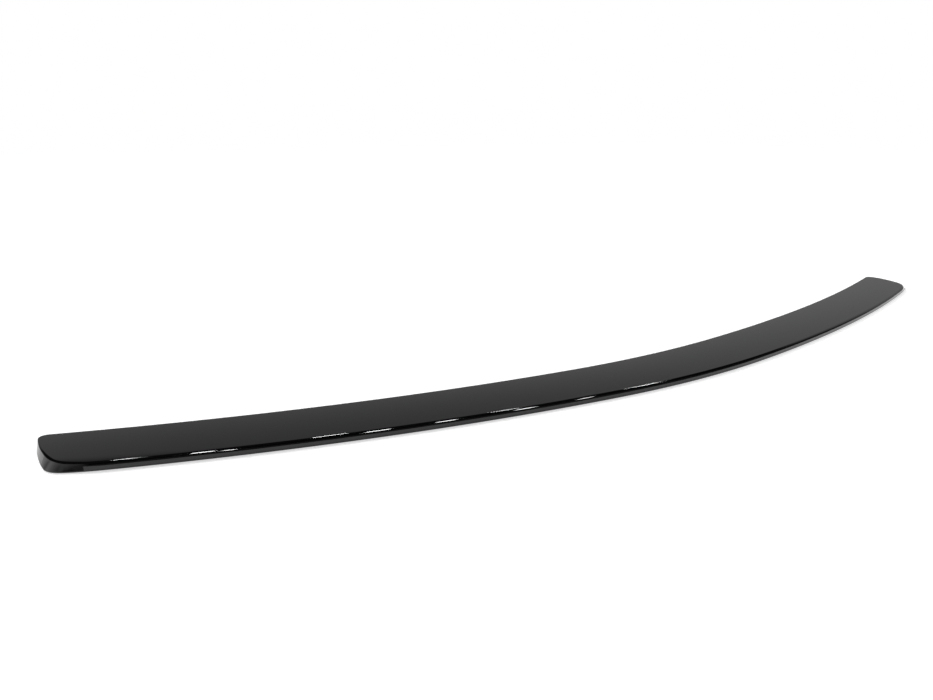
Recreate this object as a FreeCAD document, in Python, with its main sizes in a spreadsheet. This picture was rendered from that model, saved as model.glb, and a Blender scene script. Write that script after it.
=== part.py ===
import FreeCAD, Part
import math
import os
import Sketcher
from FreeCAD import Placement, Rotation, Vector

os.makedirs("parts", exist_ok=True)
doc = FreeCAD.newDocument("lip_spoiler")

# Driving sizes, in millimetres apart from the rib count
SIZES = (
    ("leading_span", 1200.0),
    ("trailing_span", 1176.0),
    ("chord", 76.6),
    ("centre_radius", 1100.0),
    ("centre_half", 107.0),
    ("nose_end_radius", 2340.0),
    ("leading_centre_radius", 1226.0),
    ("leading_end_radius", 2437.0),
    ("end_radius", 190.0),
    ("trailing_corner", 24.0),
    ("leading_corner", 6.0),
    ("end_lean", 11.0),
    ("tip_lean", 0.6),
    ("corner_sweep", 30.0),
    ("nose_thickness", 7.2),
    ("leading_thickness", 2.2),
    ("nose_radius", 3.3),
    ("corner_radius", 3.0),
    ("leading_radius", 0.9),
    ("nose_under_radius", 1.2),
    ("corner_under_radius", 0.5),
    ("leading_under_radius", 0.5),
    ("front_land", 24.0),
    ("rear_land", 10.0),
    ("core_end_margin", 44.0),
    ("wall", 2.6),
    ("rib_count", 15.0),
    ("rib_thickness", 2.0),
    ("rib_recess", 0.5),
    ("overrun", 12.0),
)
sheet = doc.addObject("Spreadsheet::Sheet", "Sizes")
for row, (alias, value) in enumerate(SIZES, 1):
    sheet.set("A%d" % row, alias)
    sheet.set("B%d" % row, str(value))
    sheet.setAlias("B%d" % row, alias)
doc.recompute()
size = dict((alias, float(sheet.get(alias))) for alias, value in SIZES)

# The origin lies on the bonding plane, half way across the front land at mid-span
NOSE_Y = "(Sizes.front_land / 2 - Sizes.chord)"
LEAD_Y = "(Sizes.front_land / 2)"
CROWN_DROP = "(Sizes.nose_thickness - Sizes.leading_thickness)"
CROWN_RADIUS = "((Sizes.chord ^ 2 + %s ^ 2) / (2 * %s))" % (CROWN_DROP, CROWN_DROP)

nose_y = size["front_land"] / 2 - size["chord"]
lead_y = size["front_land"] / 2
crown_drop = size["nose_thickness"] - size["leading_thickness"]
crown_radius = (size["chord"] ** 2 + crown_drop ** 2) / (2 * crown_drop)


def plane(body, role):
    """One of the body's own origin planes."""
    return next(o for o in body.Origin.OriginFeatures if o.Role == role)


def sketch_on(body, name, role):
    """An empty sketch on an origin plane of the body."""
    sketch = body.newObject("Sketcher::SketchObject", name)
    sketch.AttachmentSupport = [(plane(body, role), "")]
    sketch.MapMode = "FlatFace"
    return sketch


def bind(sketch, constraint, name, expression):
    """Adds a constraint and binds its value to the sizes."""
    index = sketch.addConstraint(constraint)
    sketch.renameConstraint(index, name)
    sketch.setExpression("Constraints." + name, expression)


def bow_arcs(apex_y, radius, half, end_radius, reach):
    """Left, middle and right arcs of a bow that is symmetric about X = 0 and bulges toward -Y."""
    turn = math.asin(half / radius)
    side_x = half - end_radius * math.sin(turn)
    centre_y = apex_y + radius
    side_y = centre_y - radius * math.cos(turn) + end_radius * math.cos(turn)
    reach_turn = math.asin((reach - side_x) / end_radius)
    down = -math.pi / 2
    up = Vector(0, 0, 1)
    middle = Part.Circle(Vector(0, centre_y, 0), up, radius)
    left = Part.Circle(Vector(-side_x, side_y, 0), up, end_radius)
    right = Part.Circle(Vector(side_x, side_y, 0), up, end_radius)
    return (
        Part.ArcOfCircle(left, down - reach_turn, down - turn),
        Part.ArcOfCircle(middle, down - turn, down + turn),
        Part.ArcOfCircle(right, down + turn, down + reach_turn),
    )


def draw_bow(sketch, tag, apex_y, radius, half, end_radius, reach):
    """Draws a bow in the sketch; each size comes as its value and its expression."""
    arcs = bow_arcs(apex_y[0], radius[0], half[0], end_radius[0], reach[0])
    left, middle, right = [sketch.addGeometry(arc, False) for arc in arcs]
    sketch.addConstraint(Sketcher.Constraint("PointOnObject", middle, 3, -2))
    bind(sketch, Sketcher.Constraint("DistanceY", -1, 1, middle, 3, apex_y[0] + radius[0]),
         tag + "_centre_y", "%s + %s" % (apex_y[1], radius[1]))
    bind(sketch, Sketcher.Constraint("Radius", middle, radius[0]), tag + "_radius", radius[1])
    bind(sketch, Sketcher.Constraint("DistanceX", middle, 1, -1, 1, half[0]), tag + "_half_left", half[1])
    bind(sketch, Sketcher.Constraint("DistanceX", -1, 1, middle, 2, half[0]), tag + "_half_right", half[1])
    sketch.addConstraint(Sketcher.Constraint("Tangent", left, 2, middle, 1))
    sketch.addConstraint(Sketcher.Constraint("Tangent", middle, 2, right, 1))
    bind(sketch, Sketcher.Constraint("Radius", left, end_radius[0]), tag + "_end_left", end_radius[1])
    bind(sketch, Sketcher.Constraint("Radius", right, end_radius[0]), tag + "_end_right", end_radius[1])
    return left, right


def draw_path(sketch, reach):
    """Draws the nose line alone, as far as a distance from the middle of the span."""
    left, right = draw_bow(sketch, "nose", *NOSE_BOW, reach)
    bind(sketch, Sketcher.Constraint("DistanceX", left, 1, -1, 1, reach[0]), "reach_left", reach[1])
    bind(sketch, Sketcher.Constraint("DistanceX", -1, 1, right, 2, reach[0]), "reach_right", reach[1])


NOSE_BOW = (
    (nose_y, NOSE_Y),
    (size["centre_radius"], "Sizes.centre_radius"),
    (size["centre_half"], "Sizes.centre_half"),
    (size["nose_end_radius"], "Sizes.nose_end_radius"),
)
LEAD_BOW = (
    (lead_y, LEAD_Y),
    (size["leading_centre_radius"], "Sizes.leading_centre_radius"),
    (size["centre_half"], "Sizes.centre_half"),
    (size["leading_end_radius"], "Sizes.leading_end_radius"),
)


def side_circle(bow):
    """The circle of a bow's right end arc."""
    apex_y, radius, half, end_radius = [pair[0] for pair in bow]
    return bow_arcs(apex_y, radius, half, end_radius, half * 1.1)[2].Circle


def point_at(circle, x):
    """The lower point of a circle at X."""
    return Vector(x, circle.Center.y - math.sqrt(circle.Radius ** 2 - (x - circle.Center.x) ** 2), 0)


def touching_circle(first, first_reach, second, second_reach, radius, near):
    """The circle of a radius that touches two others; its centre is at a reach from theirs."""
    gap = second.Center - first.Center
    along = (first_reach ** 2 - second_reach ** 2 + gap.Length ** 2) / (2 * gap.Length)
    height = math.sqrt(first_reach ** 2 - along ** 2)
    foot = first.Center + gap * (along / gap.Length)
    offset = Vector(-gap.y, gap.x, 0) * (height / gap.Length)
    centre = min((foot + offset, foot - offset), key=near.distanceToPoint)
    return Part.Circle(centre, Vector(0, 0, 1), radius)


def toward(circle, point):
    """The point of a circle that lies in the direction of another point."""
    return circle.Center + (point - circle.Center).normalize() * circle.Radius


def arc_through(circle, first, last):
    """The counter-clockwise arc of a circle from one of its points to another."""
    start = circle.parameter(first)
    stop = circle.parameter(last)
    return Part.ArcOfCircle(circle, start, stop if stop > start else stop + 2 * math.pi)


def mirrored(point, side):
    """The point itself, or its image on the other end of the span."""
    return Vector(point.x * side, point.y, 0)


# Share of the end's length that a trailing corner may take up
CORNER_SHARE = 0.55


def draw_outline(sketch, nose_half, lead_half, trailing_corner, leading_corner):
    """Closed plan outline of two bows and two ends; each size comes as its value and its expression."""
    nose = side_circle(NOSE_BOW)
    lead = side_circle(LEAD_BOW)
    low = point_at(nose, nose_half[0])
    high = point_at(lead, lead_half[0])
    end_radius = size["end_radius"]
    across = Vector(low.y - high.y, high.x - low.x, 0).normalize()
    depth = math.sqrt(end_radius ** 2 - (high - low).Length ** 2 / 4)
    end = Part.Circle((low + high) * 0.5 + across * depth, Vector(0, 0, 1), end_radius)
    turn = (nose.Center - low).getAngle(end.Center - low)
    room = CORNER_SHARE * (high - low).Length / math.tan(turn / 2)
    rear = min(trailing_corner[0], room)
    tip = leading_corner[0]
    corner = touching_circle(nose, nose.Radius - rear, end, end_radius - rear, rear, low)
    point = touching_circle(lead, lead.Radius + tip, end, end_radius - tip, tip, high)
    joints = (toward(nose, corner.Center), toward(end, corner.Center),
              toward(end, point.Center), toward(lead, point.Center))

    nose_arcs = draw_bow(sketch, "nose", *NOSE_BOW, (joints[0].x, ""))
    lead_arcs = draw_bow(sketch, "lead", *LEAD_BOW, (joints[3].x, ""))
    for side, tag, outer in ((-1, "left", 1), (1, "right", 2)):
        nose_arc = nose_arcs[outer - 1]
        lead_arc = lead_arcs[outer - 1]
        walk = []
        for number, circle in enumerate((corner, end, point)):
            pair = [mirrored(joint, side) for joint in joints[number:number + 2]][::side]
            turned = Part.Circle(mirrored(circle.Center, side), Vector(0, 0, 1), circle.Radius)
            walk.append(sketch.addGeometry(arc_through(turned, *pair), False))
        near = 3 - outer
        sketch.addConstraint(Sketcher.Constraint("Tangent", nose_arc, outer, walk[0], near))
        sketch.addConstraint(Sketcher.Constraint("Tangent", walk[0], outer, walk[1], near))
        sketch.addConstraint(Sketcher.Constraint("Tangent", walk[1], outer, walk[2], near))
        sketch.addConstraint(Sketcher.Constraint("Tangent", walk[2], outer, lead_arc, outer))
        bind(sketch, Sketcher.Constraint("Radius", walk[0], rear), tag + "_trailing_corner",
             "min(%s; %r)" % (trailing_corner[1], room))
        bind(sketch, Sketcher.Constraint("Radius", walk[1], end_radius), tag + "_end", "Sizes.end_radius")
        bind(sketch, Sketcher.Constraint("Radius", walk[2], tip), tag + "_leading_corner", leading_corner[1])
        for corner_tag, place, bow_arc, half in (("trailing", low, nose_arc, nose_half),
                                                 ("leading", high, lead_arc, lead_half)):
            mark = sketch.addGeometry(Part.Point(mirrored(place, side)), True)
            sketch.addConstraint(Sketcher.Constraint("PointOnObject", mark, 1, bow_arc))
            sketch.addConstraint(Sketcher.Constraint("PointOnObject", mark, 1, walk[1]))
            span = (-1, 1, mark, 1) if side > 0 else (mark, 1, -1, 1)
            bind(sketch, Sketcher.Constraint("DistanceX", *span, half[0]),
                 "%s_%s_half" % (tag, corner_tag), half[1])


# Blade: a lower and an upper plan outline joined by straight walls, which lean inward round the ends
UPPER_Z = "(Sizes.nose_thickness + Sizes.overrun / 4)"
RISE = "(%s / Sizes.nose_thickness)" % UPPER_Z
upper_z = size["nose_thickness"] + size["overrun"] / 4
rise = upper_z / size["nose_thickness"]
blade = doc.addObject("PartDesign::Body", "blade")
lower_outline = sketch_on(blade, "lower_outline", "XY_Plane")
draw_outline(lower_outline,
             (size["trailing_span"] / 2, "Sizes.trailing_span / 2"),
             (size["leading_span"] / 2, "Sizes.leading_span / 2"),
             (size["trailing_corner"], "Sizes.trailing_corner"),
             (size["leading_corner"], "Sizes.leading_corner"))
upper_outline = sketch_on(blade, "upper_outline", "XY_Plane")
upper_outline.setExpression("AttachmentOffset.Base.z", UPPER_Z)
draw_outline(upper_outline,
             (size["trailing_span"] / 2 - size["end_lean"] * rise,
              "Sizes.trailing_span / 2 - Sizes.end_lean * " + RISE),
             (size["leading_span"] / 2 - size["tip_lean"] * rise,
              "Sizes.leading_span / 2 - Sizes.tip_lean * " + RISE),
             (size["trailing_corner"] + size["corner_sweep"] * rise,
              "Sizes.trailing_corner + Sizes.corner_sweep * " + RISE),
             (size["leading_corner"], "Sizes.leading_corner"))
doc.recompute()

walls = blade.newObject("PartDesign::AdditiveLoft", "walls")
walls.Profile = lower_outline
walls.Sections = [upper_outline]
walls.Ruled = True
doc.recompute()

# Crown: the top falls in one arc from the nose to the thin leading edge, cut along the nose line
crown_path = sketch_on(blade, "crown_path", "XY_Plane")
draw_path(crown_path, ((max(size["leading_span"], size["trailing_span"]) + size["chord"]) / 2,
                       "(max(Sizes.leading_span; Sizes.trailing_span) + Sizes.chord) / 2"))
crown_section = sketch_on(blade, "crown_section", "YZ_Plane")
top_z = size["nose_thickness"]
sky_z = top_z + size["overrun"]
far_y = lead_y + size["overrun"]
back_y = nose_y - size["overrun"]
fall = math.asin((far_y - nose_y) / crown_radius)
far_z = top_z - crown_radius * (1 - math.cos(fall))
flat = crown_section.addGeometry(Part.LineSegment(Vector(back_y, top_z, 0), Vector(nose_y, top_z, 0)), False)
crown_circle = Part.Circle(Vector(nose_y, top_z - crown_radius, 0), Vector(0, 0, 1), crown_radius)
bend = crown_section.addGeometry(Part.ArcOfCircle(crown_circle, math.pi / 2 - fall, math.pi / 2), False)
front = crown_section.addGeometry(Part.LineSegment(Vector(far_y, far_z, 0), Vector(far_y, sky_z, 0)), False)
roof = crown_section.addGeometry(Part.LineSegment(Vector(far_y, sky_z, 0), Vector(back_y, sky_z, 0)), False)
back = crown_section.addGeometry(Part.LineSegment(Vector(back_y, sky_z, 0), Vector(back_y, top_z, 0)), False)
crown_section.addConstraint(Sketcher.Constraint("Tangent", flat, 2, bend, 2))
crown_section.addConstraint(Sketcher.Constraint("Coincident", bend, 1, front, 1))
crown_section.addConstraint(Sketcher.Constraint("Coincident", front, 2, roof, 1))
crown_section.addConstraint(Sketcher.Constraint("Coincident", roof, 2, back, 1))
crown_section.addConstraint(Sketcher.Constraint("Coincident", back, 2, flat, 1))
crown_section.addConstraint(Sketcher.Constraint("Horizontal", flat))
crown_section.addConstraint(Sketcher.Constraint("Vertical", front))
crown_section.addConstraint(Sketcher.Constraint("Horizontal", roof))
crown_section.addConstraint(Sketcher.Constraint("Vertical", back))
bind(crown_section, Sketcher.Constraint("DistanceX", flat, 2, -1, 1, -nose_y), "nose_y", "-1 * " + NOSE_Y)
bind(crown_section, Sketcher.Constraint("DistanceY", -1, 1, flat, 2, top_z), "top_z", "Sizes.nose_thickness")
bind(crown_section, Sketcher.Constraint("DistanceX", flat, 1, flat, 2, size["overrun"]), "behind",
     "Sizes.overrun")
bind(crown_section, Sketcher.Constraint("Radius", bend, crown_radius), "crown_radius", CROWN_RADIUS)
bind(crown_section, Sketcher.Constraint("DistanceX", -1, 1, front, 1, far_y), "ahead",
     LEAD_Y + " + Sizes.overrun")
bind(crown_section, Sketcher.Constraint("DistanceY", flat, 1, back, 1, size["overrun"]), "above",
     "Sizes.overrun")
doc.recompute()

crown = blade.newObject("PartDesign::SubtractivePipe", "crown")
crown.Profile = crown_section
crown.Spine = (crown_path, ["Edge1", "Edge2", "Edge3"])
blade.Tip = crown
doc.recompute()


def nose_frame(x):
    """Point of the nose line at X on the bonding plane, and the slope angle of the line there."""
    radius = size["centre_radius"]
    half = size["centre_half"]
    end_radius = size["nose_end_radius"]
    centre_y = nose_y + radius
    turn = math.asin(half / radius)
    if abs(x) <= half:
        slope = math.asin(x / radius)
        y = centre_y - radius * math.cos(slope)
    else:
        side_x = half - end_radius * math.sin(turn)
        slope = math.copysign(math.asin((abs(x) - side_x) / end_radius), x)
        y = centre_y + (end_radius - radius) * math.cos(turn) - end_radius * math.cos(slope)
    return Vector(x, y, 0), slope


def nose_depth(point):
    """Distance of a point of the plan ahead of the nose line, square to it."""
    radius = size["centre_radius"]
    end_radius = size["nose_end_radius"]
    turn = math.asin(size["centre_half"] / radius)
    centre = Vector(0, nose_y + radius, 0)
    if abs(point.x) > (centre.y - point.y) * math.tan(turn):
        pull = end_radius - radius
        centre += Vector(-math.copysign(pull * math.sin(turn), point.x), pull * math.cos(turn), 0)
        radius = end_radius
    return radius - math.hypot(point.x - centre.x, point.y - centre.y)


def edge_middle(edge):
    """Point half way along an edge."""
    return edge.valueAt((edge.FirstParameter + edge.LastParameter) / 2)


def crown_height(point):
    """Height of the crowned top over a point of the plan."""
    depth = max(nose_depth(point), 0)
    return size["nose_thickness"] - crown_radius + math.sqrt(crown_radius ** 2 - depth ** 2)


def on_side(face, sign):
    """Whether all corners of a face lie on the crowned top (sign 1) or on the bonding plane (sign -1)."""
    corners = [vertex.Point for vertex in face.Vertexes]
    if sign > 0:
        return all(abs(point.z - crown_height(point)) < 0.02 for point in corners)
    return all(abs(point.z) < 0.001 for point in corners)


def rim_edges(shape, sign):
    """Edges between the walls and the top (sign 1) or the underside (sign -1), nose edge first."""
    found = []
    for index, edge in enumerate(shape.Edges, 1):
        sides = [on_side(face, sign) for face in shape.ancestorsOfType(edge, Part.Face)]
        if any(sides) and not all(sides):
            found.append((index, edge))
    return sorted(found, key=lambda item: edge_middle(item[1]).y)


def rim_walk(rim):
    """The rim's edges in one walk round the blade, each with its first and last point."""
    waiting = list(rim)
    index, edge = waiting.pop(0)
    walk = [(index, edge.valueAt(edge.FirstParameter), edge.valueAt(edge.LastParameter))]
    while waiting:
        here = walk[-1][2]
        for item in waiting:
            ends = [vertex.Point for vertex in item[1].Vertexes]
            ends.sort(key=here.distanceToPoint)
            if here.distanceToPoint(ends[0]) < 1e-4:
                walk.append((item[0], ends[0], ends[-1]))
                waiting.remove(item)
                break
        else:
            raise RuntimeError("the rim is broken")
    return walk


def rim_rounding(shape, sign, nose_radius, corner_radius, lead_radius):
    """Edge number with its radius at both ends: full at the nose, thin at the leading edge."""

    def radius_at(point):
        depth = nose_depth(point)
        if depth < 0.01 * size["chord"]:
            return nose_radius
        return corner_radius if depth < 0.6 * size["chord"] else lead_radius

    walk = rim_walk(rim_edges(shape, sign))
    return [(index, radius_at(first), radius_at(last)) for index, first, last in walk]


# Rounding: a full nose that wraps round both ends and thins out toward the leading edge
lead_limit = 0.42 * size["leading_thickness"]
top_limit = 0.46 * size["nose_thickness"]
under_limit = 0.3 * size["nose_thickness"]


def round_rim(name, base, sign, radii, limits):
    """Rounds the top or the under rim with radii for the nose, the ends and the leading edge."""
    rounded = doc.addObject("Part::Fillet", name)
    rounded.Base = base
    nose, corner, lead = [min(pair) for pair in zip(radii, limits)]
    rounded.Edges = rim_rounding(base.Shape, sign, nose, corner, lead)
    doc.recompute()
    return rounded


rounded_top = round_rim(
    "rounded_top", blade, 1,
    (size["nose_radius"], size["corner_radius"], size["leading_radius"]),
    (top_limit, top_limit, lead_limit))
rounded_blade = round_rim(
    "rounded_blade", rounded_top, -1,
    (size["nose_under_radius"], size["corner_under_radius"], size["leading_under_radius"]),
    (under_limit, under_limit, lead_limit))

# Core: the underside is hollowed between the two bonding lands, under an even wall
core = doc.addObject("PartDesign::Body", "core")
core_path = sketch_on(core, "core_path", "XY_Plane")
draw_path(core_path, (size["leading_span"] / 2 - size["core_end_margin"],
                      "Sizes.leading_span / 2 - Sizes.core_end_margin"))
core_section = sketch_on(core, "core_section", "YZ_Plane")
rear_y = nose_y + size["rear_land"]
front_y = lead_y - size["front_land"]
floor_z = -size["overrun"]
ceiling_radius = crown_radius - size["wall"]
ceiling_centre = Vector(nose_y, top_z - crown_radius, 0)
rear_turn = math.asin((rear_y - nose_y) / ceiling_radius)
front_turn = math.asin((front_y - nose_y) / ceiling_radius)
rear_top = ceiling_centre + Vector(math.sin(rear_turn), math.cos(rear_turn), 0) * ceiling_radius
front_top = ceiling_centre + Vector(math.sin(front_turn), math.cos(front_turn), 0) * ceiling_radius
ceiling_circle = Part.Circle(ceiling_centre, Vector(0, 0, 1), ceiling_radius)
ceiling = core_section.addGeometry(
    Part.ArcOfCircle(ceiling_circle, math.pi / 2 - front_turn, math.pi / 2 - rear_turn), False)
rear = core_section.addGeometry(Part.LineSegment(rear_top, Vector(rear_y, floor_z, 0)), False)
floor = core_section.addGeometry(
    Part.LineSegment(Vector(rear_y, floor_z, 0), Vector(front_y, floor_z, 0)), False)
ahead = core_section.addGeometry(Part.LineSegment(Vector(front_y, floor_z, 0), front_top), False)
core_section.addConstraint(Sketcher.Constraint("Coincident", ceiling, 2, rear, 1))
core_section.addConstraint(Sketcher.Constraint("Coincident", rear, 2, floor, 1))
core_section.addConstraint(Sketcher.Constraint("Coincident", floor, 2, ahead, 1))
core_section.addConstraint(Sketcher.Constraint("Coincident", ahead, 2, ceiling, 1))
core_section.addConstraint(Sketcher.Constraint("Vertical", rear))
core_section.addConstraint(Sketcher.Constraint("Horizontal", floor))
core_section.addConstraint(Sketcher.Constraint("Vertical", ahead))
bind(core_section, Sketcher.Constraint("Radius", ceiling, ceiling_radius), "ceiling_radius",
     CROWN_RADIUS + " - Sizes.wall")
bind(core_section, Sketcher.Constraint("DistanceX", ceiling, 3, -1, 1, -nose_y), "crown_y", "-1 * " + NOSE_Y)
bind(core_section, Sketcher.Constraint("DistanceY", ceiling, 3, -1, 1, crown_radius - top_z), "crown_z",
     CROWN_RADIUS + " - Sizes.nose_thickness")
bind(core_section, Sketcher.Constraint("DistanceX", rear, 2, -1, 1, -rear_y), "rear_y",
     "-1 * %s - Sizes.rear_land" % NOSE_Y)
bind(core_section, Sketcher.Constraint("DistanceX", floor, 1, floor, 2, front_y - rear_y), "core_width",
     "Sizes.chord - Sizes.front_land - Sizes.rear_land")
bind(core_section, Sketcher.Constraint("DistanceY", floor, 1, -1, 1, -floor_z), "floor_z", "Sizes.overrun")
doc.recompute()

hollow = core.newObject("PartDesign::AdditivePipe", "hollow")
hollow.Profile = core_section
hollow.Spine = (core_path, ["Edge1", "Edge2", "Edge3"])
core.Tip = hollow
doc.recompute()

# Ribs: thin walls across the hollow, evenly spaced along the nose line and kept short of the bonding plane
rib_count = int(round(size["rib_count"]))
stations = core_path.Shape.Wires[0].discretize(Number=rib_count + 2)[1:-1]
ribs = []
for number, station in enumerate(stations, 1):
    foot, slope = nose_frame(station.x)
    rib = doc.addObject("Part::Box", "rib_%02d" % number)
    rib.setExpression("Length", "Sizes.rib_thickness")
    rib.setExpression("Width", "Sizes.chord - Sizes.front_land")
    rib.setExpression("Height", "Sizes.nose_thickness")
    turned = Placement(foot, Rotation(Vector(0, 0, 1), math.degrees(slope)))
    corner = Vector(-size["rib_thickness"] / 2, size["rear_land"] / 2, size["rib_recess"])
    shift = Placement(corner, Rotation())
    rib.Placement = turned.multiply(shift)
    ribs.append(rib)
rib_row = doc.addObject("Part::MultiFuse", "rib_row")
rib_row.Shapes = ribs
cells = doc.addObject("Part::Cut", "core_cells")
cells.Base = core
cells.Tool = rib_row

lip = doc.addObject("Part::Cut", "lip_spoiler")
lip.Label = "lip_spoiler"
lip.Base = rounded_blade
lip.Tool = cells
doc.recompute()

for item in doc.Objects:
    if "Invalid" in item.State or "Error" in item.State:
        raise RuntimeError("%s did not build" % item.Name)
for item in (blade, rounded_top, rounded_blade, core, cells, lip):
    if item.Shape.isNull() or not item.Shape.isValid():
        raise RuntimeError("%s has a broken shape" % item.Name)
if len(lip.Shape.Solids) != 1:
    raise RuntimeError("the spoiler is not one solid")

lip.Shape.exportStep("parts/lip_spoiler.step")
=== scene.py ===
import math

import bmesh
import bpy
import numpy as np
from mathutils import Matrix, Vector


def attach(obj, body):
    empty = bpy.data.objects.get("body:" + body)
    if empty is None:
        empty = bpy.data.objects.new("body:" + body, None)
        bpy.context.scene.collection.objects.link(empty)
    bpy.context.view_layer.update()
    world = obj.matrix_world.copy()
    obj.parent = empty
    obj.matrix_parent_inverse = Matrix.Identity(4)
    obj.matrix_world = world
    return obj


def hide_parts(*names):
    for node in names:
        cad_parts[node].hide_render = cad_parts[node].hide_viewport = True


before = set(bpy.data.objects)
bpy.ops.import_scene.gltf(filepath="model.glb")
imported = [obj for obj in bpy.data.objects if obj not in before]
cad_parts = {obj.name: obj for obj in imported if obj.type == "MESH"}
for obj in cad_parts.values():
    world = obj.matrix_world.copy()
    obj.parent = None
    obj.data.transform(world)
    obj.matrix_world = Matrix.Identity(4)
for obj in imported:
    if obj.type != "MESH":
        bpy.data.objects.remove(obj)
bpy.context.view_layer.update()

scene = bpy.context.scene
scene.view_settings.view_transform = "Standard"

MM = 0.001

# Sizes of the blade in millimetres, the same as in the solid
LEADING_HALF = 600.0
TRAILING_HALF = 588.0
CHORD = 76.6
FRONT_LAND = 24.0
REAR_LAND = 10.0
NOSE_Y = FRONT_LAND / 2 - CHORD
LEAD_Y = FRONT_LAND / 2
CENTRE_HALF = 107.0
NOSE_RADIUS = 1100.0
NOSE_END_RADIUS = 2340.0
LEAD_RADIUS = 1226.0
LEAD_END_RADIUS = 2437.0
END_RADIUS = 190.0
TRAILING_CORNER = 24.0
LEADING_CORNER = 6.0
END_LEAN = 11.0
TIP_LEAN = 0.6
CORNER_SWEEP = 30.0
NOSE_THICKNESS = 7.2
LEADING_THICKNESS = 2.2
TOP_RADII = (3.3, 3.0, 0.9)
UNDER_RADII = (1.2, 0.5, 0.5)
UPPER_MARGIN = 3.0
UPPER_Z = NOSE_THICKNESS + UPPER_MARGIN
RISE = UPPER_Z / NOSE_THICKNESS
CORE_INSET = 44.0
CORE_END = LEADING_HALF - CORE_INSET
WALL = 2.6
RIB_COUNT = 15
RIB_THICKNESS = 2.0
RIB_RECESS = 0.5
CROWN_DROP = NOSE_THICKNESS - LEADING_THICKNESS
CROWN_RADIUS = (CHORD ** 2 + CROWN_DROP ** 2) / (2 * CROWN_DROP)


class Bow:
    """A line of three tangent arcs, symmetric about X = 0, that bulges toward -Y."""

    def __init__(self, apex, radius, end_radius):
        self.apex = apex
        self.radius = radius
        self.end_radius = end_radius
        self.turn = math.asin(CENTRE_HALF / radius)
        self.centre = np.array([0.0, apex + radius])
        reach = radius - end_radius
        self.side = self.centre + reach * np.array([math.sin(self.turn), -math.cos(self.turn)])

    def y(self, x):
        x = abs(x)
        if x <= CENTRE_HALF:
            return self.centre[1] - math.sqrt(self.radius ** 2 - x ** 2)
        return self.side[1] - math.sqrt(self.end_radius ** 2 - (x - self.side[0]) ** 2)

    def inward(self, points):
        """Distance of the points from the line, positive on the hollow side, and its direction in plan."""
        x = np.abs(points[:, 0])
        sign = np.where(points[:, 0] < 0, -1.0, 1.0)
        middle = np.arctan2(x, self.centre[1] - points[:, 1]) <= self.turn
        centre = np.where(middle[:, None], self.centre, self.side)
        radius = np.where(middle, self.radius, self.end_radius)
        to_centre = centre - np.column_stack([x, points[:, 1]])
        length = np.linalg.norm(to_centre, axis=1)
        direction = to_centre / length[:, None]
        direction[:, 0] *= sign
        return radius - length, direction


nose = Bow(NOSE_Y, NOSE_RADIUS, NOSE_END_RADIUS)
lead = Bow(LEAD_Y, LEAD_RADIUS, LEAD_END_RADIUS)


def crown(points):
    """Height and upward normal of the crowned top at points in plan."""
    depth, direction = nose.inward(points)
    depth = np.maximum(depth, 0.0)
    root = np.sqrt(CROWN_RADIUS ** 2 - depth ** 2)
    slope = depth / root
    normal = np.column_stack([direction * slope[:, None], np.ones(len(points))])
    normal /= np.linalg.norm(normal, axis=1)[:, None]
    return NOSE_THICKNESS - CROWN_RADIUS + root, normal


def meeting_point(centre_a, radius_a, centre_b, radius_b, near):
    """The crossing of two circles that lies nearer to a point."""
    gap = centre_b - centre_a
    distance = np.linalg.norm(gap)
    along = (radius_a ** 2 - radius_b ** 2 + distance ** 2) / (2 * distance)
    height = math.sqrt(max(radius_a ** 2 - along ** 2, 0.0))
    foot = centre_a + gap * along / distance
    offset = np.array([-gap[1], gap[0]]) * height / distance
    return min((foot + offset, foot - offset), key=lambda p: np.linalg.norm(p - near))


SIDE_STEPS = 200
NEAR_STEPS = 60
NEAR_END = 510.0
CORNER_STEPS = 44
END_STEPS = 40
TIP_STEPS = 14
flip = np.array([-1.0, 1.0])


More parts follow.
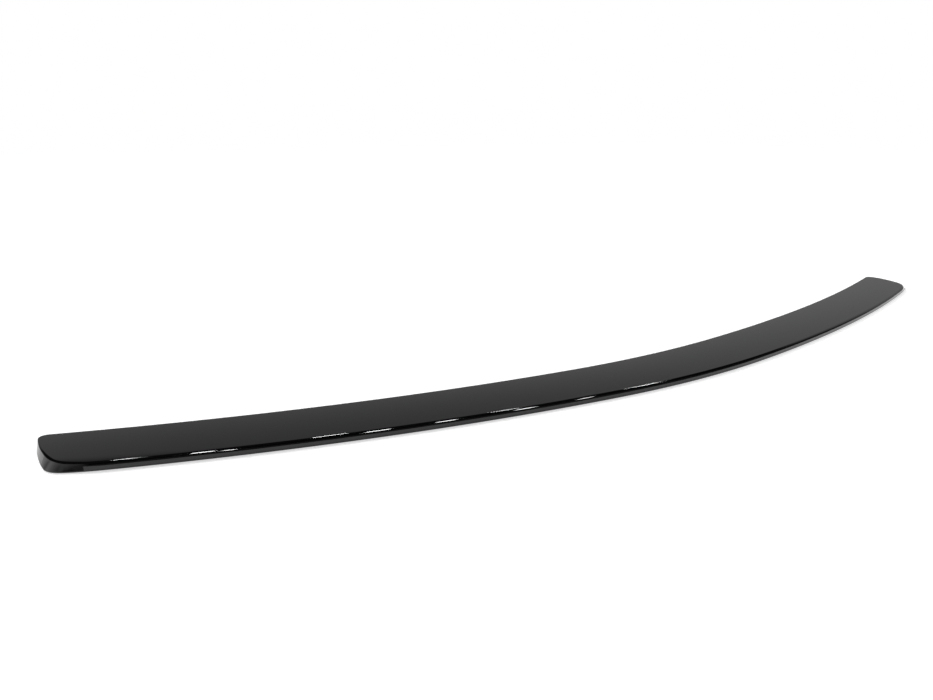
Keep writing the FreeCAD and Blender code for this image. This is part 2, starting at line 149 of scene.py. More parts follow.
def plan_outline(trailing_half, leading_half, trailing_corner):
    """Plan outline in one closed walk from the nose middle.

    Gives its points, their inward normals and the stage of the rounding at each.
    """
    low = np.array([trailing_half, nose.y(trailing_half)])
    high = np.array([leading_half, lead.y(leading_half)])
    chord = high - low
    inward = np.array([-chord[1], chord[0]]) / np.linalg.norm(chord)
    end = (low + high) / 2 + inward * math.sqrt(END_RADIUS ** 2 - chord @ chord / 4)
    corner = meeting_point(nose.side, nose.end_radius - trailing_corner,
                           end, END_RADIUS - trailing_corner, low)
    tip = meeting_point(lead.side, lead.end_radius + LEADING_CORNER,
                        end, END_RADIUS - LEADING_CORNER, high)

    def on_circle(centre, radius, toward):
        gap = toward - centre
        return centre + gap / np.linalg.norm(gap) * radius

    nose_stop = on_circle(nose.side, nose.end_radius, corner)
    end_start = on_circle(end, END_RADIUS, corner)
    end_stop = on_circle(end, END_RADIUS, tip)
    lead_start = on_circle(lead.side, lead.end_radius, tip)
    points, normals, stages = [], [], []

    def add_side(bow, xs, stage):
        for x in xs:
            points.append((x, bow.y(x)))
            direction = bow.inward(np.array([[x, bow.y(x)]]))[1][0]
            normals.append(direction if bow is nose else -direction)
            stages.append(stage)

    def add_arc(centre, radius, start, stop, steps, first_stage, last_stage):
        first = math.atan2(*(start - centre)[::-1])
        last = math.atan2(*(stop - centre)[::-1])
        for step in range(steps):
            part = step / steps
            angle = first + (last - first) * part
            out = np.array([math.cos(angle), math.sin(angle)])
            points.append(centre + radius * out)
            normals.append(-out)
            stages.append(first_stage + (last_stage - first_stage) * part)

    coarse = np.linspace(0.0, NEAR_END, SIDE_STEPS - NEAR_STEPS, endpoint=False)
    fine = np.linspace(NEAR_END, nose_stop[0], NEAR_STEPS, endpoint=False)
    add_side(nose, np.concatenate([coarse, fine]), 0.0)
    add_arc(corner, trailing_corner, nose_stop, end_start, CORNER_STEPS, 0.0, 1.0)
    add_arc(end, END_RADIUS, end_start, end_stop, END_STEPS, 1.0, 2.0)
    add_arc(tip, LEADING_CORNER, end_stop, lead_start, TIP_STEPS, 2.0, 2.0)
    add_side(lead, np.linspace(lead_start[0], 0.0, SIDE_STEPS + 1), 2.0)
    points, normals, stages = np.array(points), np.array(normals), np.array(stages)
    mirror = slice(len(points) - 2, 0, -1)
    return (np.vstack([points, points[mirror] * flip]), np.vstack([normals, normals[mirror] * flip]),
            np.concatenate([stages, stages[mirror]]))


EDGE_SLACK = 1e-6


def inset_to(outline, points, normals):
    """Distance from each point to an outline, measured along the point's inward normal."""
    edges = np.roll(outline, -1, axis=0) - outline
    found = []
    for point, normal in zip(points, normals):
        gap = outline - point
        turned = normal[0] * edges[:, 1] - normal[1] * edges[:, 0]
        with np.errstate(divide="ignore", invalid="ignore"):
            reach = (gap[:, 0] * edges[:, 1] - gap[:, 1] * edges[:, 0]) / turned
            part = (gap[:, 0] * normal[1] - gap[:, 1] * normal[0]) / turned
        hit = np.where((part > -EDGE_SLACK) & (part < 1 + EDGE_SLACK), np.abs(reach), np.inf)
        found.append(reach[hit.argmin()])
    return np.array(found)


# Lower outline, and how far the walls lean in to the upper one, square to the lower
rim, rim_in, stage = plan_outline(TRAILING_HALF, LEADING_HALF, TRAILING_CORNER)
upper_rim = plan_outline(TRAILING_HALF - END_LEAN * RISE, LEADING_HALF - TIP_LEAN * RISE,
                         TRAILING_CORNER + CORNER_SWEEP * RISE)[0]
lean = inset_to(upper_rim, rim, rim_in) / UPPER_Z
RIM = len(rim)
HALF = RIM // 2 + 1


def eased(part):
    """A smooth step from 0 to 1."""
    part = np.clip(part, 0.0, 1.0)
    return part * part * (3 - 2 * part)


def rim_radii(radii):
    at_nose, at_corner, at_lead = radii
    toward_corner = at_nose + (at_corner - at_nose) * eased(stage)
    return toward_corner + (at_lead - at_corner) * eased(stage - 1.0)


top_radius = rim_radii(TOP_RADII)
under_radius = rim_radii(UNDER_RADII)

vertices = []
vertex_normals = []
faces = []
face_finish = []
GLOSS, SATIN = 0, 1


def add_vertices(points, normals):
    """Adds a row of points in millimetres with their normals and returns their numbers."""
    first = len(vertices)
    vertices.extend(np.asarray(points, float).tolist())
    vertex_normals.extend(np.asarray(normals, float).tolist())
    return list(range(first, len(vertices)))


def add_face(corners, finish):
    faces.append(tuple(corners))
    face_finish.append(finish)


def join_loops(lower, upper, finish):
    """Quads between two closed loops of the same count."""
    for index in range(len(lower)):
        after = (index + 1) % len(lower)
        add_face((lower[index], lower[after], upper[after], upper[index]), finish)


# Walls and both roundings: rings from the underside up to the top
UNDER_STEPS = 7
WALL_STEPS = 4
TOP_STEPS = 14
ROLL_ROUNDS = 40
ROLL_SHARE = 0.7
wall_slope = rim_in * lean[:, None]


def rim_change(values):
    """Change of a value from one rim point to the next, centred."""
    return np.roll(values, -1, axis=0) - np.roll(values, 1, axis=0)


def wall_normals(height):
    """Unit normals of the straight walls at a height."""
    along = rim_change(rim) + rim_change(wall_slope) * np.reshape(height, (-1, 1))
    normal = np.cross(np.column_stack([along, np.zeros(RIM)]), np.column_stack([wall_slope, np.ones(RIM)]))
    return normal / np.linalg.norm(normal, axis=1)[:, None]


def rolling_rounding(radius, sign):
    """Centres of a ball that rolls between the walls and the top (sign 1) or the underside (sign -1)."""
    height = np.full(RIM, NOSE_THICKNESS / 2)
    for attempt in range(ROLL_ROUNDS):
        normal = wall_normals(height)
        centre = np.column_stack([rim + wall_slope * height[:, None], height]) - normal * radius[:, None]
        if sign > 0:
            surface, surface_normal = crown(centre[:, :2])
            gap = (surface - centre[:, 2]) * surface_normal[:, 2] - radius
        else:
            surface_normal = np.tile((0.0, 0.0, -1.0), (RIM, 1))
            gap = radius - centre[:, 2]
        height = height + gap * ROLL_SHARE
    return centre, normal, surface_normal


def arc_rings(radius, sign, steps):
    """Rings of the rounding, from the wall to the top or the underside, with their normals."""
    centre, first, last = rolling_rounding(radius, sign)
    angle = np.arccos(np.clip(np.sum(first * last, axis=1), -1.0, 1.0))
    for step in range(steps + 1):
        part = step / steps
        normal = (first * np.sin((1 - part) * angle)[:, None] + last * np.sin(part * angle)[:, None])
        normal /= np.sin(angle)[:, None]
        yield centre + normal * radius[:, None], normal


under_arc = list(arc_rings(under_radius, -1, UNDER_STEPS))[::-1]
top_arc = list(arc_rings(top_radius, 1, TOP_STEPS))
wall_part = []
low_height, high_height = under_arc[-1][0][:, 2], top_arc[0][0][:, 2]
for step in range(1, WALL_STEPS):
    height = low_height + (high_height - low_height) * step / WALL_STEPS
    points = np.column_stack([rim + wall_slope * height[:, None], height])
    wall_part.append((points, wall_normals(height)))
rings = np.array([points for points, normals in under_arc + wall_part + top_arc])
ring_normals = np.array([normals for points, normals in under_arc + wall_part + top_arc])
ring_normals[0] = (0.0, 0.0, -1.0)

ring_ids = [add_vertices(points, normals) for points, normals in zip(rings, ring_normals)]
for lower, higher in zip(ring_ids[:-1], ring_ids[1:]):
    join_loops(lower, higher, GLOSS)

# Crowned top: loops that close in on a line along the middle of the chord
SPINE_END = 545.0
LOOPS = 16


def spine_points():
    xs = np.linspace(0.0, SPINE_END, SIDE_STEPS + 1)
    bow_points = np.array([(x, nose.y(x)) for x in xs])
    direction = nose.inward(bow_points)[1]
    shifted = bow_points + direction * CHORD / 2
    shifted[0, 0] = 0.0
    return shifted


half_spine = spine_points()
turning = CORNER_STEPS + END_STEPS + TIP_STEPS
half_feet = np.concatenate([np.arange(SIDE_STEPS), np.full(turning, SIDE_STEPS),
                            np.arange(SIDE_STEPS, -1, -1)])
feet = np.concatenate([half_feet, half_feet[HALF - 2:0:-1]])
on_left = np.concatenate([np.zeros(HALF, bool), np.ones(RIM - HALF, bool)])
foot_points = half_spine[feet] * np.where(on_left[:, None], flip, 1.0)
last_ring = rings[-1][:, :2]
loop_ids = [ring_ids[-1]]
for loop in range(1, LOOPS):
    plan = last_ring + (foot_points - last_ring) * loop / LOOPS
    height, normal = crown(plan)
    loop_ids.append(add_vertices(np.column_stack([plan, height]), normal))
for lower, higher in zip(loop_ids[:-1], loop_ids[1:]):
    join_loops(lower, higher, GLOSS)

spine = np.vstack([half_spine[:0:-1] * flip, half_spine])
spine_height, spine_normal = crown(spine)
spine_ids = add_vertices(np.column_stack([spine, spine_height]), spine_normal)
spine_of = [spine_ids[SIDE_STEPS - foot] if left else spine_ids[SIDE_STEPS + foot]
            for foot, left in zip(feet, on_left)]
inner = loop_ids[-1]
for index in range(RIM):
    after = (index + 1) % RIM
    corners = [inner[index], inner[after], spine_of[after], spine_of[index]]
    if spine_of[after] == spine_of[index]:
        corners.pop()
    add_face(corners, GLOSS)

# Hollow underside: cells between thin ribs, under an even wall
CELL_STEPS = 8
CHORD_STEPS = 6
LENGTH_POINTS = 4001
core_depths = np.linspace(REAR_LAND, CHORD - FRONT_LAND, CHORD_STEPS + 1)


def nose_length():
    """Arc length along the nose line out to the end of the core, with the X of each step."""
    xs = np.linspace(-CORE_END, CORE_END, LENGTH_POINTS)
    ys = np.array([nose.y(x) for x in xs])
    steps = np.hypot(np.diff(xs), np.diff(ys))
    return np.concatenate([[0.0], np.cumsum(steps)]), xs


lengths, length_xs = nose_length()
pitch = lengths[-1] / (RIB_COUNT + 1)
stations = []
rib_after = set()
for cell in range(RIB_COUNT + 1):
    start = cell * pitch + (RIB_THICKNESS / 2 if cell else 0.0)
    stop = (cell + 1) * pitch - (RIB_THICKNESS / 2 if cell < RIB_COUNT else 0.0)
    stations.extend(np.linspace(start, stop, CELL_STEPS + 1))
    if cell < RIB_COUNT:
        rib_after.add(len(stations) - 1)
station_xs = np.interp(stations, lengths, length_xs)
station_feet = np.array([(x, nose.y(x)) for x in station_xs])
station_in = nose.inward(station_feet)[1]
ceiling_height = NOSE_THICKNESS - CROWN_RADIUS + np.sqrt((CROWN_RADIUS - WALL) ** 2 - core_depths ** 2)
down = (0.0, 0.0, -1.0)


def core_row(station, height):
    """A row of points across the hollow at one station."""
    plan = station_feet[station] + station_in[station] * core_depths[:, None]
    heights = np.broadcast_to(height, core_depths.shape)
    return add_vertices(np.column_stack([plan, heights]), [down] * len(core_depths))


count = len(stations)
mouth = [core_row(station, 0.0) for station in range(count)]
step_row = [core_row(station, RIB_RECESS) for station in range(count)]
ceiling = [core_row(station, ceiling_height) for station in range(count)]


def close_row(lower, higher, turned):
    """Quads between two rows across the hollow, as an end wall or a rib's side."""
    for index in range(CHORD_STEPS):
        corners = (lower[index], lower[index + 1], higher[index + 1], higher[index])
        add_face(corners[::-1] if turned else corners, SATIN)


for station in range(count - 1):
    after = station + 1
    for row, turned in ((0, False), (CHORD_STEPS, True)):
        low = (mouth[station][row], mouth[after][row], step_row[after][row], step_row[station][row])
        add_face(low[::-1] if turned else low, SATIN)
    if station in rib_after:
        close_row(step_row[station], step_row[after], False)
        close_row(step_row[station], ceiling[station], True)
        close_row(step_row[after], ceiling[after], False)
    else:
        for row, turned in ((0, False), (CHORD_STEPS, True)):
            high = (step_row[station][row], step_row[after][row], ceiling[after][row], ceiling[station][row])
            add_face(high[::-1] if turned else high, SATIN)
        close_row(ceiling[station], ceiling[after], False)
for station, turned in ((0, False), (count - 1, True)):
    close_row(mouth[station], step_row[station], turned)
    close_row(step_row[station], ceiling[station], turned)

mouth_loop = ([row[0] for row in mouth] + mouth[-1][1:]
              + [row[-1] for row in reversed(mouth[:-1])] + mouth[0][-2:0:-1])


def build_mesh():
    """Makes the mesh, fills the bonding lands round the hollow and sets the exact normals."""
    build = bmesh.new()
    points = [build.verts.new(Vector(v) * MM) for v in vertices]
    build.verts.index_update()
    for corners, finish in zip(faces, face_finish):
        face = build.faces.new([points[c] for c in corners])
        face.material_index = finish
        face.smooth = True
    build.verts.ensure_lookup_table()
    edges = []
    for loop in (ring_ids[0], mouth_loop):
        for index, corner in enumerate(loop):
            pair = (points[corner], points[loop[(index + 1) % len(loop)]])
            edges.append(build.edges.get(pair) or build.edges.new(pair))
    filled = bmesh.ops.triangle_fill(build, use_beauty=False, use_dissolve=False, edges=edges,
                                     normal=down)
    for item in filled["geom"]:
        if isinstance(item, bmesh.types.BMFace):
            item.material_index = SATIN
            item.smooth = True
            item.normal_update()
            if item.normal.z > 0:
                item.normal_flip()
    loose = [v for v in build.verts if not v.link_faces]
    bmesh.ops.delete(build, geom=loose, context="VERTS")
    build.verts.index_update()
    mesh = bpy.data.meshes.new("gloss_blade")
    order = [v.index for v in points if v.is_valid]
    kept = [index for index, v in enumerate(points) if v.is_valid]
    build.to_mesh(mesh)
    build.free()
    normals = np.zeros((len(mesh.vertices), 3))
    normals[order] = np.array(vertex_normals)[kept]
    corner_normals = np.zeros((len(mesh.loops), 3))
    for polygon in mesh.polygons:
        for loop in polygon.loop_indices:
            if polygon.material_index == SATIN:
                corner_normals[loop] = polygon.normal
            else:
                corner_normals[loop] = normals[mesh.loops[loop].vertex_index]
    mesh.normals_split_custom_set(corner_normals.tolist())
    return mesh


blade = bpy.data.objects.new("gloss_blade", build_mesh())
scene.collection.objects.link(blade)


PLASTIC_IOR = 1.5
NOISE_LOW, NOISE_HIGH = 0.3, 0.7
GLOSS_DARK, GLOSS_LIGHT = (0.0026, 0.0026, 0.0029), (0.0038, 0.0038, 0.0041)
GLOSS_ROUGHNESS = (0.03, 0.045)
CLOUD_SCALE, HAZE_SCALE, PEEL_SCALE = 14.0, 60.0, 380.0
PEEL_STRENGTH, PEEL_HEIGHT = 0.15, 0.00001
SATIN_DARK, SATIN_LIGHT = (0.014, 0.014, 0.015), (0.021, 0.021, 0.022)
SATIN_ROUGHNESS = (0.38, 0.55)
FLOW_SCALE, GRAIN_SCALE = 22.0, 1500.0
GRAIN_STRENGTH, GRAIN_HEIGHT = 0.5, 0.00012


def new_material(name):
    material = bpy.data.materials.new(name)
    material.use_nodes = True
    nodes = material.node_tree.nodes
    return material, nodes, material.node_tree.links, nodes["Principled BSDF"]


def noise_of(nodes, links, coordinates, scale, detail):
    noise = nodes.new("ShaderNodeTexNoise")
    noise.inputs["Scale"].default_value = scale
    noise.inputs["Detail"].default_value = detail
    links.new(coordinates.outputs["Object"], noise.inputs["Vector"])
    return noise


def ramp_of(nodes, links, source, low, high):
    """Maps a grey value onto a span."""
    span = nodes.new("ShaderNodeMapRange")
    span.inputs["From Min"].default_value = NOISE_LOW
    span.inputs["From Max"].default_value = NOISE_HIGH
    span.inputs["To Min"].default_value = low
    span.inputs["To Max"].default_value = high
    links.new(source, span.inputs["Value"])
    return span


def tint_of(nodes, links, source, dark, light):
    """Mixes two colours by a grey value."""
    mix = nodes.new("ShaderNodeMix")
    mix.data_type = "RGBA"
    mix.inputs[6].default_value = (*dark, 1.0)
    mix.inputs[7].default_value = (*light, 1.0)
    links.new(source, mix.inputs[0])
    return mix


def bump_of(nodes, links, source, strength, height):
    """A relief from a grey value."""
    bump = nodes.new("ShaderNodeBump")
    bump.inputs["Strength"].default_value = strength
    bump.inputs["Distance"].default_value = height
    links.new(source, bump.inputs["Height"])
    return bump


def gloss_material():
    """Deep black lacquer with a faint cloudiness and a very fine orange peel."""
    material, nodes, links, shader = new_material("gloss_black_plastic")
    place = nodes.new("ShaderNodeTexCoord")
    cloud = noise_of(nodes, links, place, CLOUD_SCALE, 3.0)
    haze = noise_of(nodes, links, place, HAZE_SCALE, 4.0)
    peel = noise_of(nodes, links, place, PEEL_SCALE, 2.0)
    tint = tint_of(nodes, links, cloud.outputs["Fac"], GLOSS_DARK, GLOSS_LIGHT)
    links.new(tint.outputs[2], shader.inputs["Base Color"])
    rough = ramp_of(nodes, links, haze.outputs["Fac"], *GLOSS_ROUGHNESS)
    links.new(rough.outputs["Result"], shader.inputs["Roughness"])
    bump = bump_of(nodes, links, peel.outputs["Fac"], PEEL_STRENGTH, PEEL_HEIGHT)
    links.new(bump.outputs["Normal"], shader.inputs["Normal"])
    shader.inputs["IOR"].default_value = PLASTIC_IOR
    return material


def satin_material():
    """Bare moulded plastic of the underside, with a fine spark grain."""
    material, nodes, links, shader = new_material("satin_black_underside")
    place = nodes.new("ShaderNodeTexCoord")
    flow = noise_of(nodes, links, place, FLOW_SCALE, 4.0)
    grain = noise_of(nodes, links, place, GRAIN_SCALE, 3.0)
    tint = tint_of(nodes, links, flow.outputs["Fac"], SATIN_DARK, SATIN_LIGHT)
    links.new(tint.outputs[2], shader.inputs["Base Color"])
    rough = ramp_of(nodes, links, grain.outputs["Fac"], *SATIN_ROUGHNESS)
    links.new(rough.outputs["Result"], shader.inputs["Roughness"])
    bump = bump_of(nodes, links, grain.outputs["Fac"], GRAIN_STRENGTH, GRAIN_HEIGHT)
    links.new(bump.outputs["Normal"], shader.inputs["Normal"])
    shader.inputs["IOR"].default_value = PLASTIC_IOR
    return material


blade.data.materials.append(gloss_material())
blade.data.materials.append(satin_material())
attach(blade, "root")
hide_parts("lip_spoiler")


def seen_directly(nodes, links):
    """1 for camera, glossy and transmission rays, else 0."""
    path = nodes.new("ShaderNodeLightPath")
    first = nodes.new("ShaderNodeMath")
    first.operation = "MAXIMUM"
    second = nodes.new("ShaderNodeMath")
    second.operation = "MAXIMUM"
    links.new(path.outputs["Is Camera Ray"], first.inputs[0])
    links.new(path.outputs["Is Glossy Ray"], first.inputs[1])
    links.new(first.outputs[0], second.inputs[0])
    links.new(path.outputs["Is Transmission Ray"], second.inputs[1])
    return second.outputs[0]


# White background, with less light from it on matt surfaces
WORLD_LIGHT, WHITE = 0.3, 1.0
world = bpy.data.worlds.new("white_background")
world.use_nodes = True
scene.world = world
nodes, links = world.node_tree.nodes, world.node_tree.links
background = nodes["Background"]
background.inputs["Color"].default_value = (1.0, 1.0, 1.0, 1.0)
level = nodes.new("ShaderNodeMapRange")
level.inputs["To Min"].default_value = WORLD_LIGHT
level.inputs["To Max"].default_value = WHITE
links.new(seen_directly(nodes, links), level.inputs["Value"])
links.new(level.outputs["Result"], background.inputs["Strength"])


def grid_object(name, points, quads):
    mesh = bpy.data.meshes.new(name)
    mesh.from_pydata(points, [], quads)
    mesh.update()
    item = bpy.data.objects.new(name, mesh)
    scene.collection.objects.link(item)
    return item


# Pale floor that keeps a soft shadow
FLOOR_REACH = 6.0
FLOOR_Z = -0.0002
FLOOR_TONE = 0.6
LIFT_START, LIFT_END = 0.7, 1.8
LIFT_NEAR = 0.62
floor = grid_object("floor", [(-FLOOR_REACH, -FLOOR_REACH, FLOOR_Z), (FLOOR_REACH, -FLOOR_REACH, FLOOR_Z),
                              (FLOOR_REACH, FLOOR_REACH, FLOOR_Z), (-FLOOR_REACH, FLOOR_REACH, FLOOR_Z)],
                    [(0, 1, 2, 3)])
paper = bpy.data.materials.new("pale_floor")
paper.use_nodes = True
nodes, links = paper.node_tree.nodes, paper.node_tree.links
nodes.clear()
output = nodes.new("ShaderNodeOutputMaterial")
total = nodes.new("ShaderNodeAddShader")
matt = nodes.new("ShaderNodeBsdfDiffuse")
matt.inputs["Color"].default_value = (FLOOR_TONE, FLOOR_TONE, FLOOR_TONE, 1.0)
lift = nodes.new("ShaderNodeEmission")
place = nodes.new("ShaderNodeTexCoord")
distance = nodes.new("ShaderNodeVectorMath")
distance.operation = "LENGTH"
links.new(place.outputs["Object"], distance.inputs[0])
spread = nodes.new("ShaderNodeMapRange")
spread.inputs["From Min"].default_value = LIFT_START
spread.inputs["From Max"].default_value = LIFT_END
spread.inputs["To Min"].default_value = LIFT_NEAR
spread.inputs["To Max"].default_value = WHITE
links.new(distance.outputs["Value"], spread.inputs["Value"])
shown = nodes.new("ShaderNodeMath")
shown.operation = "MULTIPLY"
links.new(seen_directly(nodes, links), shown.inputs[0])
links.new(spread.outputs["Result"], shown.inputs[1])
links.new(shown.outputs[0], lift.inputs["Strength"])
links.new(matt.outputs[0], total.inputs[0])
links.new(lift.outputs[0], total.inputs[1])
links.new(total.outputs[0], output.inputs["Surface"])
floor.data.materials.append(paper)

# Studio tent with grey walls and a dark roof. The camera does not see it; reflections above the floor show
# it in place of the white background
TENT_RADIUS = 5.5
ROOF_SHARE = 0.02
TENT_ROUND = 48
TENT_RISE = 16
tent_points = []
for rise in range(TENT_RISE + 1):
    lift_angle = math.pi / 2 * rise / TENT_RISE
    for turn in range(TENT_ROUND):
        angle = 2 * math.pi * turn / TENT_ROUND
        tent_points.append((TENT_RADIUS * math.cos(lift_angle) * math.cos(angle),
                            TENT_RADIUS * math.cos(lift_angle) * math.sin(angle),
                            TENT_RADIUS * math.sin(lift_angle)))
tent_quads = []
for rise in range(TENT_RISE):
    for turn in range(TENT_ROUND):
        after = (turn + 1) % TENT_ROUND
        tent_quads.append((rise * TENT_ROUND + turn, (rise + 1) * TENT_ROUND + turn,
                           (rise + 1) * TENT_ROUND + after, rise * TENT_ROUND + after))
tent = grid_object("studio_tent", tent_points, tent_quads)
tent.visible_camera = False
tent.visible_shadow = False
cloth = bpy.data.materials.new("tent_cloth")
cloth.use_nodes = True
nodes, links = cloth.node_tree.nodes, cloth.node_tree.links
nodes.clear()
output = nodes.new("ShaderNodeOutputMaterial")
glow = nodes.new("ShaderNodeEmission")
place = nodes.new("ShaderNodeTexCoord")
axes = nodes.new("ShaderNodeSeparateXYZ")
links.new(place.outputs["Object"], axes.inputs[0])


def eased_range(source, low, high, first, last):
    """A smooth change from one level to another while a value crosses a span."""
    span = nodes.new("ShaderNodeMapRange")
    span.interpolation_type = "SMOOTHSTEP"
    span.inputs["From Min"].default_value = low
    span.inputs["From Max"].default_value = high
    span.inputs["To Min"].default_value = first
    span.inputs["To Max"].default_value = last
    links.new(source, span.inputs["Value"])
    return span.outputs["Result"]


def level_ramp(source, low, high, stops):
    """A grey level that runs through stops, each a place between low and high with its level."""
    span = nodes.new("ShaderNodeMapRange")
    span.inputs["From Min"].default_value = low
    span.inputs["From Max"].default_value = high
    links.new(source, span.inputs["Value"])
    ramp = nodes.new("ShaderNodeValToRGB")
    colours = ramp.color_ramp.elements
    while len(colours) < len(stops):
        colours.new(0.5)
    for colour, (place, level) in zip(colours, stops):
        colour.position = (place - low) / (high - low)
        colour.color = (level, level, level, 1.0)
    links.new(span.outputs["Result"], ramp.inputs["Fac"])
    return ramp.outputs["Color"]


def joined(operation, first, second):
    item = nodes.new("ShaderNodeMath")
    item.operation = operation
    links.new(first, item.inputs[0])
    links.new(second, item.inputs[1])
    return item.outputs[0]


# Levels round the tent, by the compass angle from +Y toward +X in degrees
compass = joined("ARCTAN2", axes.outputs["X"], axes.outputs["Y"])
BACK_STOPS = ((-180, 0.06), (-150, 0.06), (-125, 0.04), (-44, 0.03), (-36, 0.12), (-27, 0.17), (-19, 0.29),
              (-12, 0.27), (-5, 0.265), (12, 0.28), (40, 0.31), (90, 0.31), (99, 0.04), (150, 0.06),
              (180, 0.06))
LEFT_STOPS = ((-180, 0.0), (-148, 0.0), (-134, 0.13), (-116, 0.22), (-107, 0.45), (-100, 0.6), (-94, 0.68),
              (-80, 1.0), (-62, 1.1), (-50, 0.85), (-44, 0.85), (-40, 0.0), (180, 0.0))
FRONT_STOPS = ((-180, 0.22), (-145, 0.22), (-115, 0.0), (115, 0.0), (145, 0.22), (180, 0.22))
# Height at which each of them starts to fade, as a share of the tent's radius, and the depth of that fade
BACK_FADE = ((-180, 0.43), (-36, 0.2), (-24, 0.3), (-14, 0.385), (-5, 0.43), (6, 0.46), (180, 0.46))
LEFT_FADE = ((-180, 0.2), (-122, 0.25), (-114, 0.48), (-104, 0.62), (-97, 0.56), (-89, 0.47), (-78, 0.43),
             (-65, 0.36), (-60, 0.29), (-53, 0.08), (-49, 0.02), (-43, 0.0), (180, 0.0))
FRONT_FADE = ((-180, 0.5), (180, 0.5))
FRONT_FOOT = (0.36, 0.46)
BACK_DEPTH, LEFT_DEPTH, FRONT_DEPTH = 0.06, 0.2, 0.1
degrees = nodes.new("ShaderNodeMath")
degrees.operation = "DEGREES"
links.new(compass, degrees.inputs[0])
height_share = nodes.new("ShaderNodeMath")
height_share.operation = "DIVIDE"
height_share.inputs[1].default_value = TENT_RADIUS
links.new(axes.outputs["Z"], height_share.inputs[0])


def tent_part(levels, fades, depth):
    """Level of one part of the tent, which fades out upward."""
    around = level_ramp(degrees.outputs[0], -180.0, 180.0, levels)
    start = level_ramp(degrees.outputs[0], -180.0, 180.0, fades)
    above = joined("SUBTRACT", height_share.outputs[0], start)
    return joined("MULTIPLY", around, eased_range(above, 0.0, depth, 1.0, ROOF_SHARE))


back_part = tent_part(BACK_STOPS, BACK_FADE, BACK_DEPTH)
left_part = tent_part(LEFT_STOPS, LEFT_FADE, LEFT_DEPTH)
front_foot = eased_range(height_share.outputs[0], *FRONT_FOOT, 0.0, 1.0)
front_part = joined("MULTIPLY", tent_part(FRONT_STOPS, FRONT_FADE, FRONT_DEPTH), front_foot)
links.new(joined("ADD", joined("ADD", back_part, left_part), front_part), glow.inputs["Strength"])
links.new(glow.outputs[0], output.inputs["Surface"])
tent.data.materials.append(cloth)


# Camera at the photograph's angle, with pixels of the photograph's frame
FRAME_WIDTH = 933.0
FOCAL_PIXELS = 600.0
SENSOR_WIDTH = 36.0
NEAR_CLIP = 0.01
AZIMUTH, ELEVATION, DISTANCE = math.radians(-28.144), math.radians(20.699), 0.71165
TARGET = Vector((-0.177601, 0.128543, 0.0))
back = Vector((math.sin(AZIMUTH) * math.cos(ELEVATION), -math.cos(AZIMUTH) * math.cos(ELEVATION),
               math.sin(ELEVATION)))
camera_data = bpy.data.cameras.new("camera")
camera_data.sensor_fit = "HORIZONTAL"
camera_data.sensor_width = SENSOR_WIDTH
camera_data.lens = FOCAL_PIXELS * SENSOR_WIDTH / FRAME_WIDTH
camera_data.clip_start = NEAR_CLIP
camera = bpy.data.objects.new("camera", camera_data)
camera.location = TARGET + back * DISTANCE
camera.rotation_euler = (-back).to_track_quat("-Z", "Y").to_euler()
scene.collection.objects.link(camera)
scene.camera = camera


def area_lamp(name, place, rotation, length, width, radiance):
    """A rectangular lamp of a given brightness."""
    data = bpy.data.lights.new(name, "AREA")
    data.shape = "RECTANGLE"
    data.size = length
    data.size_y = width
    data.energy = radiance * math.pi * length * width
    lamp = bpy.data.objects.new(name, data)
    lamp.location = place
    lamp.rotation_euler = rotation
    lamp.visible_camera = False
    scene.collection.objects.link(lamp)
    return lamp


def soft_lamp(name, place, target, radiance):
    """A large lamp aimed at a point, which reflections do not show."""
    rotation = (Vector(target) - Vector(place)).to_track_quat("-Z", "Y").to_euler()
    area_lamp(name, place, rotation, SOFT_SIZE, SOFT_SIZE, radiance).visible_glossy = False


# Soft key from behind on the left, and a fill from the right
SOFT_SIZE = 1.6
soft_lamp("key", (-1.5, 2.0, 2.4), (0.0, 0.0, 0.0), 10.5)
soft_lamp("fill", (1.8, 0.4, 2.4), (0.2, 0.0, 0.0), 4.5)

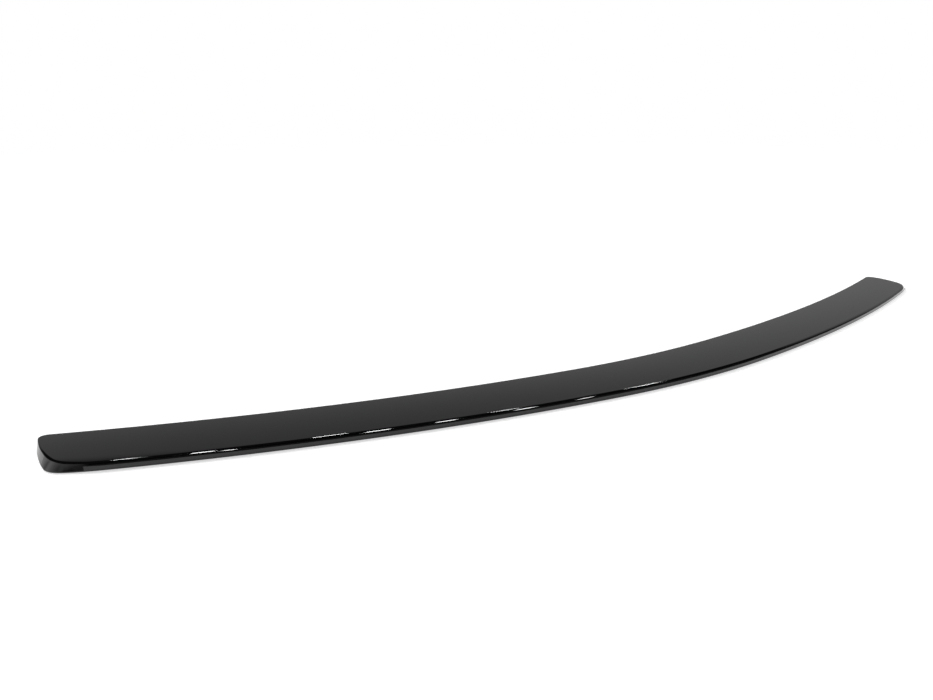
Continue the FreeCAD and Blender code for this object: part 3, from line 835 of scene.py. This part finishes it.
# Small ceiling lamps, which draw the bright dashes on the ridge. For each dash: the pixel columns between
# which its lamp is reflected, and how far round the nose's rounding it lies, in degrees from straight up
CEILING = 2.4
CEILING_RADIANCE = 60.0
CEILING_WIDTH = 0.45
DASHES = (
    (118, 137, 12),
    (313, 347, 8),
    (495.5, 513.5, 8),
    (636, 655, 12),
    (192, 214, 36),
    (223, 235, 48),
    (366, 390, 38),
    (437, 456, 40),
    (517, 534, 42),
    (580, 591, 44),
)
RIDGE_HALF = 560.0
RIDGE_POINTS = 2241
eye = np.array(camera.location)
frame_right = np.array([math.cos(AZIMUTH), math.sin(AZIMUTH), 0.0])


def ridge_line(tilt):
    """Points in metres along the rounding of the nose, tilted from straight up, with their normals."""
    feet = np.array([(x, nose.y(x)) for x in np.linspace(-RIDGE_HALF, RIDGE_HALF, RIDGE_POINTS)])
    inward = nose.inward(feet)[1]
    level = np.ones(RIDGE_POINTS)
    normals = np.column_stack([-inward * math.sin(tilt), level * math.cos(tilt)])
    radius = TOP_RADII[0]
    centres = np.column_stack([feet + inward * radius, level * (NOSE_THICKNESS - radius)])
    return (centres + normals * radius) * MM, normals


def ceiling_places(columns, tilt):
    """Places in plan on the ceiling that the camera sees reflected in the ridge at pixel columns."""
    points, normals = ridge_line(tilt)
    view = points - eye
    shown_at = FRAME_WIDTH / 2 - FOCAL_PIXELS * (view @ frame_right) / (view @ np.array(back))
    view /= np.linalg.norm(view, axis=1)[:, None]
    reflected = view - 2 * np.sum(view * normals, axis=1)[:, None] * normals
    reach = (CEILING - points[:, 2]) / reflected[:, 2]
    hits = points + reflected * reach[:, None]
    return np.column_stack([np.interp(columns, shown_at, hits[:, axis]) for axis in range(2)])


for number, (first, last, tilt) in enumerate(DASHES, 1):
    ends = ceiling_places((first, last), math.radians(tilt))
    x, y = ends.mean(axis=0)
    run = ends[1] - ends[0]
    rotation = (0.0, 0.0, math.atan2(run[1], run[0]))
    lamp = area_lamp("ceiling_lamp_%02d" % number, (x, y, CEILING), rotation, math.hypot(*run),
                     CEILING_WIDTH, CEILING_RADIANCE)
    lamp.visible_diffuse = False
